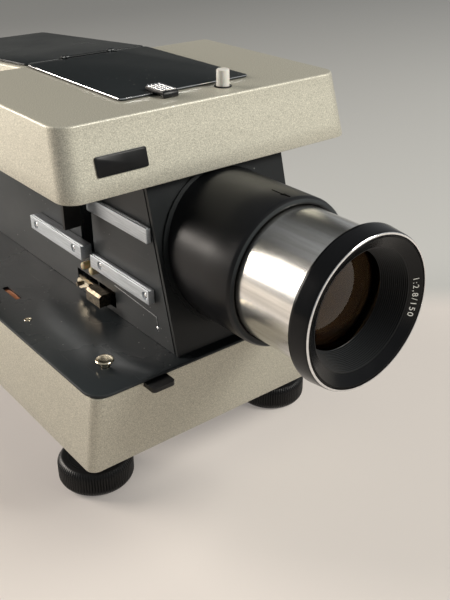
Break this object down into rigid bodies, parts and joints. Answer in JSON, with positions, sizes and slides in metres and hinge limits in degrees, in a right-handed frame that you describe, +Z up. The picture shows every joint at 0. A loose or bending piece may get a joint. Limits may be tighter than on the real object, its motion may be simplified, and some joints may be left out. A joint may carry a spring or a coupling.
{
  "type": "slide projector",
  "caption": "Slide projector with a long lens, a magazine track on each side of a narrow spine, a roof-like cover with a hinged flap, and knurled levelling feet.",
  "frame": {"origin": "centre of the bounding box, on the floor under the feet", "axes": "+Z up, the lens looks along -Y, and the pictured track lies on the -X side"},
  "size_m": [0.215, 0.4186, 0.2524],
  "materials": {
    "enamel_beige": "grained warm grey-beige stove enamel, semi-gloss",
    "paint_dark_grey": "dark grey satin paint",
    "paint_black": "black satin paint",
    "anodised_black": "black anodised, gloss on the collar and matte inside",
    "aluminium_satin": "satin extruded aluminium",
    "aluminium_polished": "fine-turned bright aluminium",
    "nickel": "nickel plated",
    "steel_zinc": "zinc plated steel",
    "plastic_black": "black moulded plastic",
    "nylon_cream": "cream nylon",
    "acrylic_frosted": "frosted translucent acrylic",
    "optical_glass": "coated optical glass with an amber-grey cast",
    "lamp_glass": "clear lamp glass",
    "ceramic": "unglazed white ceramic",
    "iron_laminated": "varnished laminated iron and wound copper"
  },
  "bodies": {
    "body": {"base_housing": "enamel_beige", "bottom_plate": "steel_zinc", "changer_bar": "steel_zinc", "condenser_front": "optical_glass", "condenser_holder": "aluminium_satin", "condenser_rear": "optical_glass", "deck_plate": "paint_dark_grey", "fan_motor": "steel_zinc", "gate_plate": "paint_black", "guide_pegs_left": "nylon_cream", "guide_pegs_right": "nylon_cream", "heat_filter": "optical_glass", "hinge_pin": "steel_zinc", "lamp": "lamp_glass", "lamp_house": "enamel_beige", "lamp_socket": "ceramic", "lens_mount_tube": "anodised_black", "lens_panel": "paint_black", "mains_inlet": "plastic_black", "mirror": "aluminium_polished", "rail_left_lower_front": "aluminium_satin", "rail_left_lower_rear": "aluminium_satin", "rail_left_upper_front": "aluminium_satin", "rail_right_lower_front": "aluminium_satin", "rail_right_lower_rear": "aluminium_satin", "rail_right_upper_front": "aluminium_satin", "rear_grille": "paint_dark_grey", "rear_panel": "paint_black", "side_wall_left": "paint_dark_grey", "side_wall_right": "paint_dark_grey", "top_cover": "enamel_beige", "transformer": "iron_laminated"},
    "lens": {"lens_barrel": "aluminium_polished", "front_collar": "anodised_black", "baffle_ring": "anodised_black", "front_lens": "optical_glass", "rear_lens": "optical_glass"},
    "flap": {"flap": "paint_black"},
    "catch": {"flap_catch": "steel_zinc"},
    "rod": {"push_rod": "acrylic_frosted"},
    "arm_left": {"changer_arm_left": "paint_black"},
    "index_left": {"index_slider_left": "plastic_black"},
    "pawl_left": {"index_pawl_left": "nickel"},
    "stud_left": {"stop_stud_left": "nickel"},
    "key_left": {"release_key_left": "plastic_black"},
    "arm_right": {"changer_arm_right": "paint_black"},
    "index_right": {"index_slider_right": "plastic_black"},
    "pawl_right": {"index_pawl_right": "nickel"},
    "stud_right": {"stop_stud_right": "nickel"},
    "key_right": {"release_key_right": "plastic_black"},
    "stem_front_left": {"foot_stem_front_left": "steel_zinc"},
    "wheel_front_left": {"foot_wheel_front_left": "plastic_black"},
    "stem_front_right": {"foot_stem_front_right": "steel_zinc"},
    "wheel_front_right": {"foot_wheel_front_right": "plastic_black"},
    "stem_rear_left": {"foot_stem_rear_left": "steel_zinc"},
    "wheel_rear_left": {"foot_wheel_rear_left": "plastic_black"},
    "stem_rear_right": {"foot_stem_rear_right": "steel_zinc"},
    "wheel_rear_right": {"foot_wheel_rear_right": "plastic_black"},
    "impeller": {"fan_impeller": "plastic_black"},
    "rocker": {"power_switch": "plastic_black"}
  },
  "joints": [
    {"name": "lens_focus_slide", "type": "slide", "parent": "body", "child": "lens", "axis": [0, -1, 0], "range_m": [-0.03, 0.02]},
    {"name": "flap_hinge", "type": "hinge", "parent": "body", "child": "flap", "pos_m": [0, 0.04725, 0.2442], "axis": [-1, 0, 0], "range_deg": [0, 110]},
    {"name": "catch_slide", "type": "slide", "parent": "flap", "child": "catch", "axis": [0, 1, 0], "range_m": [0, 0.006]},
    {"name": "rod_push", "type": "slide", "parent": "body", "child": "rod", "axis": [0, 0, -1], "range_m": [0, 0.004], "stiffness_N_per_m": 120, "springref_m": -0.002},
    {"name": "changer_slide_left", "type": "slide", "parent": "body", "child": "arm_left", "axis": [1, 0, 0], "range_m": [-0.026, 0.03]},
    {"name": "index_slide_left", "type": "slide", "parent": "body", "child": "index_left", "axis": [0, 1, 0], "range_m": [0, 0.0046]},
    {"name": "pawl_hinge_left", "type": "hinge", "parent": "index_left", "child": "pawl_left", "pos_m": [-0.0517, -0.01275, 0.1168], "axis": [1, 0, 0], "range_deg": [-8, 12], "stiffness_Nm_per_rad": 0.004},
    {"name": "stud_push_left", "type": "slide", "parent": "body", "child": "stud_left", "axis": [0, 0, -1], "range_m": [0, 0.0018], "stiffness_N_per_m": 200, "springref_m": -0.001},
    {"name": "key_push_left", "type": "slide", "parent": "body", "child": "key_left", "axis": [0, 1, 0], "range_m": [0, 0.004], "stiffness_N_per_m": 150, "springref_m": -0.002},
    {"name": "changer_slide_right", "type": "slide", "parent": "body", "child": "arm_right", "axis": [-1, 0, 0], "range_m": [-0.026, 0.03]},
    {"name": "index_slide_right", "type": "slide", "parent": "body", "child": "index_right", "axis": [0, 1, 0], "range_m": [0, 0.0046]},
    {"name": "pawl_hinge_right", "type": "hinge", "parent": "index_right", "child": "pawl_right", "pos_m": [0.0517, -0.01275, 0.1168], "axis": [1, 0, 0], "range_deg": [-8, 12], "stiffness_Nm_per_rad": 0.004},
    {"name": "stud_push_right", "type": "slide", "parent": "body", "child": "stud_right", "axis": [0, 0, -1], "range_m": [0, 0.0018], "stiffness_N_per_m": 200, "springref_m": -0.001},
    {"name": "key_push_right", "type": "slide", "parent": "body", "child": "key_right", "axis": [0, 1, 0], "range_m": [0, 0.004], "stiffness_N_per_m": 150, "springref_m": -0.002},
    {"name": "foot_screw_front_left", "type": "slide", "parent": "body", "child": "stem_front_left", "axis": [0, 0, 1], "range_m": [0, 0.026]},
    {"name": "foot_turn_front_left", "type": "hinge", "parent": "stem_front_left", "child": "wheel_front_left", "pos_m": [-0.0754, -0.05455, 0.009], "axis": [0, 0, 1], "range_deg": [0, 4682]},
    {"name": "foot_screw_front_right", "type": "slide", "parent": "body", "child": "stem_front_right", "axis": [0, 0, 1], "range_m": [0, 0.026]},
    {"name": "foot_turn_front_right", "type": "hinge", "parent": "stem_front_right", "child": "wheel_front_right", "pos_m": [0.0754, -0.05455, 0.009], "axis": [0, 0, 1], "range_deg": [0, 4682]},
    {"name": "foot_screw_rear_left", "type": "slide", "parent": "body", "child": "stem_rear_left", "axis": [0, 0, 1], "range_m": [0, 0.026]},
    {"name": "foot_turn_rear_left", "type": "hinge", "parent": "stem_rear_left", "child": "wheel_rear_left", "pos_m": [-0.0754, 0.16425, 0.009], "axis": [0, 0, 1], "range_deg": [0, 4682]},
    {"name": "foot_screw_rear_right", "type": "slide", "parent": "body", "child": "stem_rear_right", "axis": [0, 0, 1], "range_m": [0, 0.026]},
    {"name": "foot_turn_rear_right", "type": "hinge", "parent": "stem_rear_right", "child": "wheel_rear_right", "pos_m": [0.0754, 0.16425, 0.009], "axis": [0, 0, 1], "range_deg": [0, 4682]},
    {"name": "fan_spin", "type": "hinge", "parent": "body", "child": "impeller", "pos_m": [0, 0.14725, 0.08], "axis": [0, 0, 1], "continuous": true},
    {"name": "switch_rock", "type": "hinge", "parent": "body", "child": "rocker", "pos_m": [0.064, 0.20575, 0.0737], "axis": [-1, 0, 0], "range_deg": [0, 16]}
  ],
  "couplings": [
    {"joint": "foot_turn_front_left", "follows": "foot_screw_front_left", "rad_per_m": 3141.6},
    {"joint": "foot_turn_front_right", "follows": "foot_screw_front_right", "rad_per_m": 3141.6},
    {"joint": "foot_turn_rear_left", "follows": "foot_screw_rear_left", "rad_per_m": 3141.6},
    {"joint": "foot_turn_rear_right", "follows": "foot_screw_rear_right", "rad_per_m": 3141.6}
  ]
}
